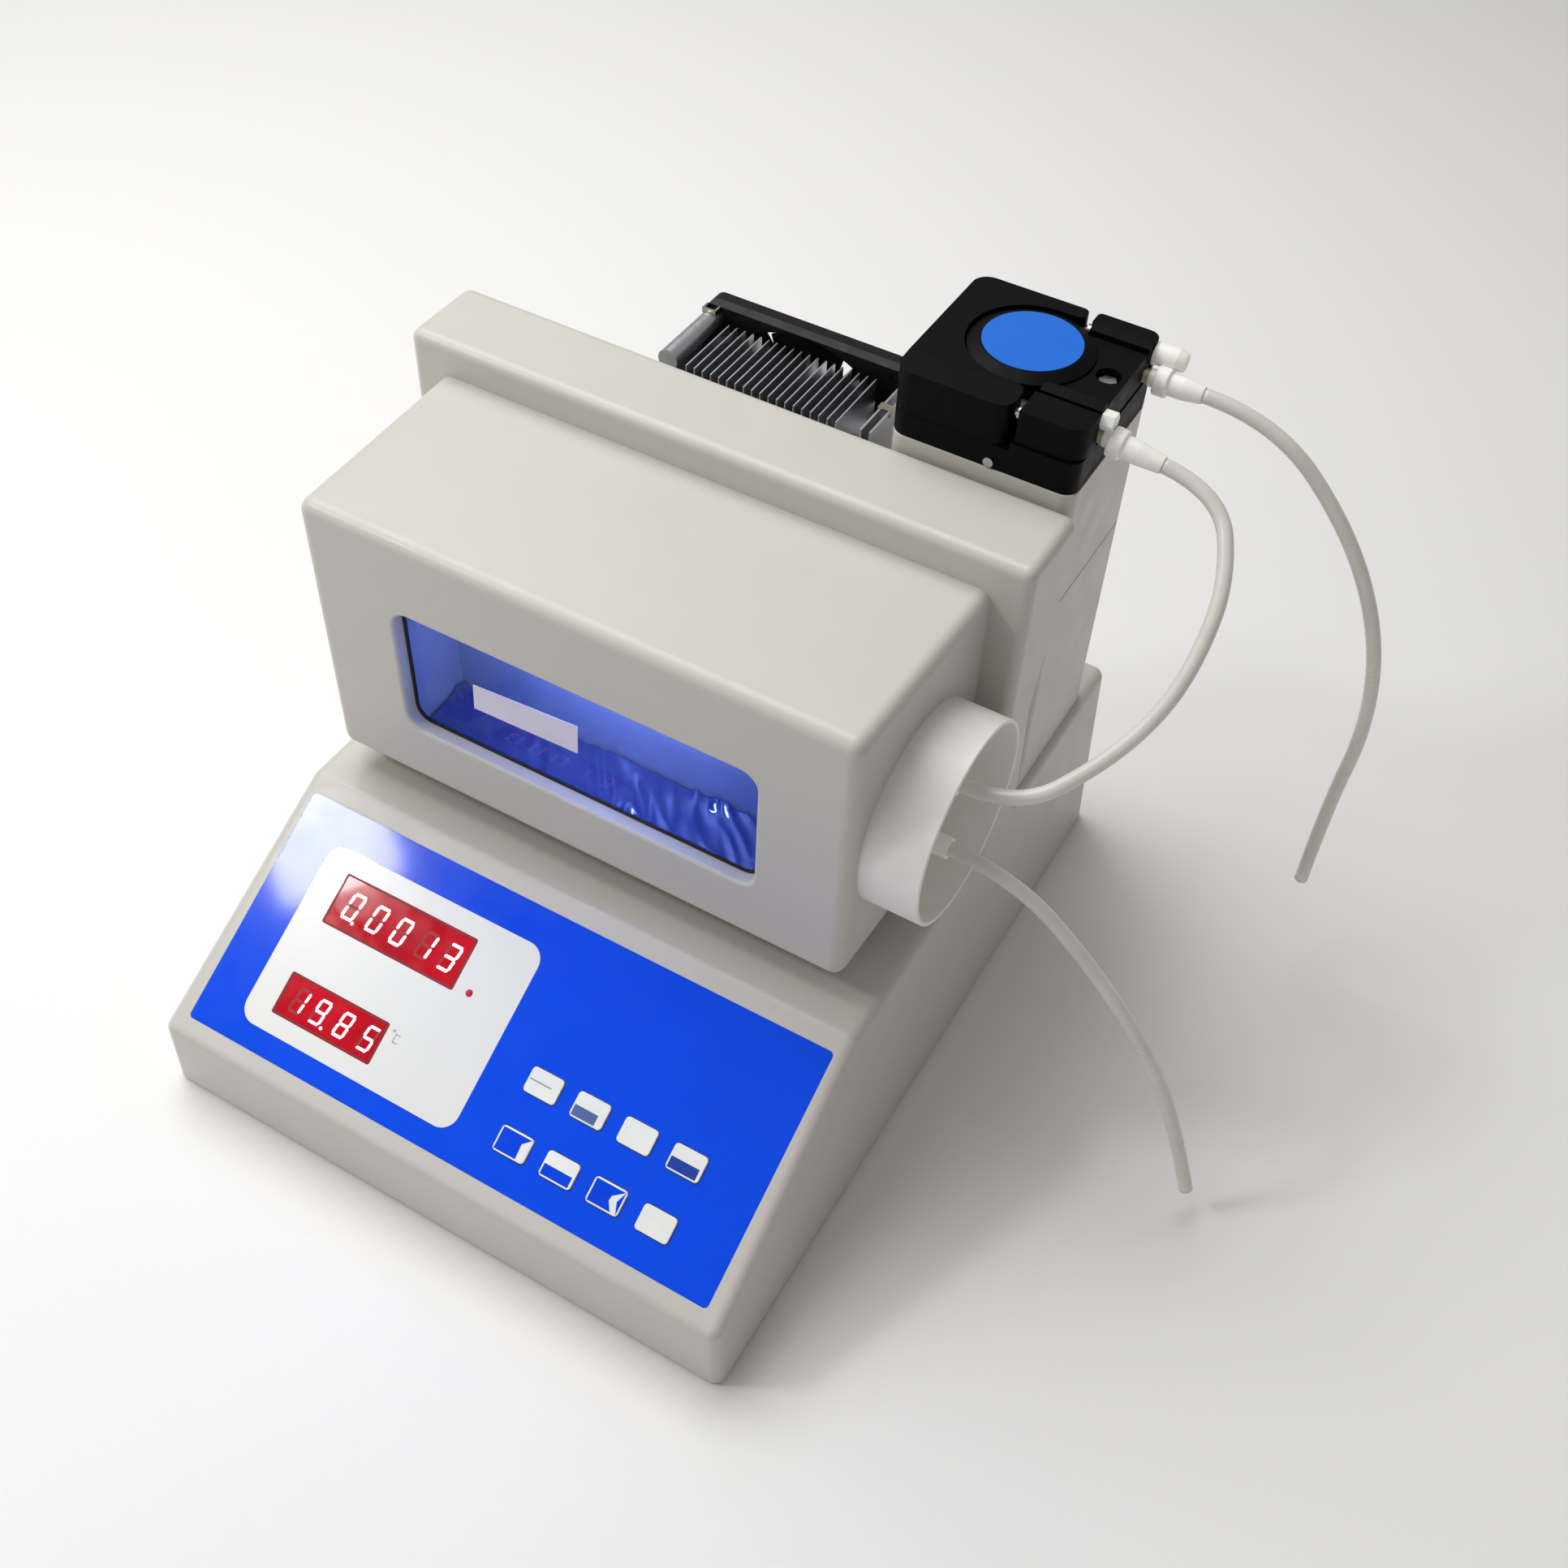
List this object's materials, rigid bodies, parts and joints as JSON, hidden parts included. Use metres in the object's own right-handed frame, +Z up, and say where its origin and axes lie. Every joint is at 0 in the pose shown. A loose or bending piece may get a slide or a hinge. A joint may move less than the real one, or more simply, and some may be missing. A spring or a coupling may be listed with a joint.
{
  "type": "peristaltic pump instrument",
  "caption": "Benchtop liquid density meter with a peristaltic pump head on a rear pedestal, silicone hoses, a thermostatted cell hood and a sloping keypad console.",
  "frame": {"origin": "centre of the console's footprint, on the bench", "axes": "+Z up; -Y towards the operator, so +Y runs from the sloping panel to the rear; +X to the operator's right, the side of the ring and the pump"},
  "size_m": [0.4129, 0.355, 0.2957],
  "materials": {
    "abs_beige": "satin moulded ABS",
    "floor_plate": "painted sheet",
    "foot_rubber": "moulded",
    "steel_fastener": "plated",
    "overlay_blue": "glossy film",
    "label_white": "satin film",
    "window_red": "tinted filter",
    "led_block": "moulded",
    "led_red": "clear lens",
    "circuit_board": "solder mask",
    "key_white": "satin",
    "supply_metal": "plated sheet",
    "plastic_black": "moulded",
    "pump_black": "fine satin",
    "disc_blue": "satin",
    "rotor_grey": "moulded",
    "roller_white": "turned",
    "aluminium_block": "machined",
    "cell_glass": "clear",
    "support_polymer": "machined",
    "pane_blue": "tinted pane",
    "ring_white": "translucent",
    "nylon_white": "translucent",
    "ceramic": "fired",
    "nickel": "plated",
    "motor_steel": "laminated steel",
    "pump_tubing": "extruded",
    "silicone": "translucent"
  },
  "bodies": {
    "chassis": {"bottom_plate": "floor_plate", "bottom_screws": "steel_fastener", "cell_supports": "support_polymer", "clamp_blocks": "pump_black", "console_shell": "abs_beige", "display_label": "label_white", "display_windows": "window_red", "fan_clips": "nickel", "fan_frame": "plastic_black", "front_board": "circuit_board", "guide_pins": "steel_fastener", "heat_sink": "aluminium_block", "hex_bolt": "steel_fastener", "hood_shell": "abs_beige", "hose_inlet": "silicone", "hose_link": "silicone", "hose_nuts": "nylon_white", "hose_outlet": "silicone", "hose_sleeves": "nylon_white", "indicator_led": "led_red", "jaw_knobs": "nylon_white", "led_displays": "led_block", "main_board": "circuit_board", "measuring_cell": "cell_glass", "panel_overlay": "overlay_blue", "pedestal_lower": "abs_beige", "pedestal_upper": "abs_beige", "peltier_module": "ceramic", "port_nipples": "nylon_white", "port_ring": "ring_white", "power_inlet": "plastic_black", "power_supply": "supply_metal", "pump_base": "pump_black", "pump_motor": "motor_steel", "pump_nose": "pump_black", "pump_screws": "steel_fastener", "pump_tube": "pump_tubing", "rear_frame": "abs_beige", "rubber_feet": "foot_rubber", "thermostat_block": "aluminium_block", "tube_jaws": "pump_black", "window_gasket": "foot_rubber", "window_pane": "pane_blue"},
    "fan": {"fan_impeller": "plastic_black"},
    "rotor": {"pump_rotor": "rotor_grey", "rotor_cap": "pump_black", "rotor_disc": "disc_blue"},
    "tube_bed": {"tube_bed_block": "pump_black"},
    "mains_rocker": {"power_switch": "plastic_black"},
    "roller_1_body": {"roller_1": "roller_white"},
    "roller_2_body": {"roller_2": "roller_white"},
    "roller_3_body": {"roller_3": "roller_white"},
    "key_1_body": {"key_1": "key_white"},
    "key_2_body": {"key_2": "key_white"},
    "key_3_body": {"key_3": "key_white"},
    "key_4_body": {"key_4": "key_white"},
    "key_5_body": {"key_5": "key_white"},
    "key_6_body": {"key_6": "key_white"},
    "key_7_body": {"key_7": "key_white"},
    "key_8_body": {"key_8": "key_white"}
  },
  "joints": [
    {"name": "key_1_press", "type": "slide", "parent": "chassis", "child": "key_1_body", "axis": [0, 0.4923, -0.8704], "range_m": [0, 0.0005], "stiffness_N_per_m": 1500},
    {"name": "key_2_press", "type": "slide", "parent": "chassis", "child": "key_2_body", "axis": [0, 0.4923, -0.8704], "range_m": [0, 0.0005], "stiffness_N_per_m": 1500},
    {"name": "key_3_press", "type": "slide", "parent": "chassis", "child": "key_3_body", "axis": [0, 0.4923, -0.8704], "range_m": [0, 0.0005], "stiffness_N_per_m": 1500},
    {"name": "key_4_press", "type": "slide", "parent": "chassis", "child": "key_4_body", "axis": [0, 0.4923, -0.8704], "range_m": [0, 0.0005], "stiffness_N_per_m": 1500},
    {"name": "key_5_press", "type": "slide", "parent": "chassis", "child": "key_5_body", "axis": [0, 0.4923, -0.8704], "range_m": [0, 0.0005], "stiffness_N_per_m": 1500},
    {"name": "key_6_press", "type": "slide", "parent": "chassis", "child": "key_6_body", "axis": [0, 0.4923, -0.8704], "range_m": [0, 0.0005], "stiffness_N_per_m": 1500},
    {"name": "key_7_press", "type": "slide", "parent": "chassis", "child": "key_7_body", "axis": [0, 0.4923, -0.8704], "range_m": [0, 0.0005], "stiffness_N_per_m": 1500},
    {"name": "key_8_press", "type": "slide", "parent": "chassis", "child": "key_8_body", "axis": [0, 0.4923, -0.8704], "range_m": [0, 0.0005], "stiffness_N_per_m": 1500},
    {"name": "mains_rocker_tip", "type": "hinge", "parent": "chassis", "child": "mains_rocker", "pos_m": [-0.074, 0.17, 0.042], "axis": [-1, 0, 0], "range_deg": [0, 18]},
    {"name": "fan_spin", "type": "hinge", "parent": "chassis", "child": "fan", "pos_m": [-0.0044, 0.1245, 0.2175], "axis": [0, 1, 0], "continuous": true},
    {"name": "rotor_spin", "type": "hinge", "parent": "chassis", "child": "rotor", "pos_m": [0.0913, 0.124, 0.282], "axis": [0, 0, 1], "continuous": true},
    {"name": "roller_1_spin", "type": "hinge", "parent": "rotor", "child": "roller_1_body", "pos_m": [0.10351, 0.13105, 0.282], "axis": [0, 0, 1], "continuous": true},
    {"name": "roller_2_spin", "type": "hinge", "parent": "rotor", "child": "roller_2_body", "pos_m": [0.07909, 0.13105, 0.282], "axis": [0, 0, 1], "continuous": true},
    {"name": "roller_3_spin", "type": "hinge", "parent": "rotor", "child": "roller_3_body", "pos_m": [0.0913, 0.1099, 0.282], "axis": [0, 0, 1], "continuous": true},
    {"name": "tube_bed_slide", "type": "slide", "parent": "chassis", "child": "tube_bed", "axis": [-1, 0, 0], "range_m": [0, 0.006]}
  ],
  "couplings": [
    {"joint": "roller_1_spin", "follows": "rotor_spin", "ratio": -3.88},
    {"joint": "roller_2_spin", "follows": "rotor_spin", "ratio": -3.88},
    {"joint": "roller_3_spin", "follows": "rotor_spin", "ratio": -3.88}
  ]
}
